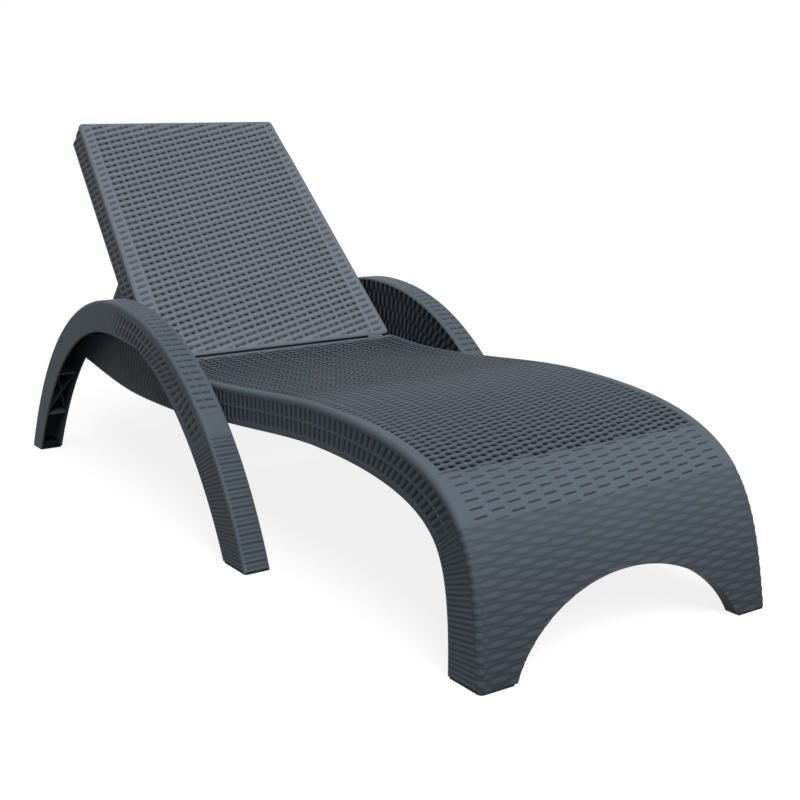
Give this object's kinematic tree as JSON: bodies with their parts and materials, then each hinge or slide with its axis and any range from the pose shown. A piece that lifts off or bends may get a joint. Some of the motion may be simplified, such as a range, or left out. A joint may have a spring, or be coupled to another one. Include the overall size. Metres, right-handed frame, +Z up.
{
  "type": "sun lounger",
  "caption": "Moulded woven-look sun lounger: arched arm frames, a curved seat shell and a back that lifts on a prop over a notched rack.",
  "frame": {"origin": "on the floor, under the middle of the lounger's length and width", "axes": "+Z up, +Y from the foot end towards the head, +X to the right of someone who looks from the foot end to the head"},
  "size_m": [0.7618, 1.9, 0.8479],
  "materials": {
    "shell_plastic": "matt, anthracite grey, with a moulded weave",
    "structure_plastic": "matt, dark grey, plain",
    "pad_rubber": "matt black",
    "zinc_steel": "zinc plated"
  },
  "bodies": {
    "frame": {"arm_bolt_left_1": "zinc_steel", "arm_bolt_left_2": "zinc_steel", "arm_bolt_left_3": "zinc_steel", "arm_bolt_right_1": "zinc_steel", "arm_bolt_right_2": "zinc_steel", "arm_bolt_right_3": "zinc_steel", "arm_front_pad_left": "pad_rubber", "arm_front_pad_right": "pad_rubber", "arm_left": "shell_plastic", "arm_nut_left_1": "zinc_steel", "arm_nut_left_2": "zinc_steel", "arm_nut_left_3": "zinc_steel", "arm_nut_right_1": "zinc_steel", "arm_nut_right_2": "zinc_steel", "arm_nut_right_3": "zinc_steel", "arm_rear_pad_left": "pad_rubber", "arm_rear_pad_right": "pad_rubber", "arm_right": "shell_plastic", "foot_pad_left": "pad_rubber", "foot_pad_right": "pad_rubber", "hinge_pin_left": "zinc_steel", "hinge_pin_right": "zinc_steel", "outrigger_bolt_left": "zinc_steel", "outrigger_bolt_right": "zinc_steel", "outrigger_nut_left": "zinc_steel", "outrigger_nut_right": "zinc_steel", "rail_left": "structure_plastic", "rail_right": "structure_plastic", "rail_screw_left_1": "zinc_steel", "rail_screw_left_2": "zinc_steel", "rail_screw_right_1": "zinc_steel", "rail_screw_right_2": "zinc_steel", "rail_tie": "structure_plastic", "seat_shell": "shell_plastic", "tie_bolt_left": "zinc_steel", "tie_bolt_right": "zinc_steel", "tie_nut_left": "zinc_steel", "tie_nut_right": "zinc_steel"},
    "back": {"backrest_shell": "shell_plastic", "prop_pin_left": "zinc_steel", "prop_pin_right": "zinc_steel"},
    "prop": {"prop_frame": "structure_plastic"}
  },
  "joints": [
    {"name": "back_hinge", "type": "hinge", "parent": "frame", "child": "back", "pos_m": [0, 0.2744, 0.311], "axis": [1, 0, 0], "range_deg": [-45.16, 14.84]},
    {"name": "prop_pivot", "type": "hinge", "parent": "back", "child": "prop", "pos_m": [0, 0.47104, 0.49456], "axis": [1, 0, 0], "range_deg": [-26.8, 81.4]}
  ],
  "couplings": [
    {"joint": "prop_pivot", "follows": "back_hinge", "ratio": -1.8}
  ]
}
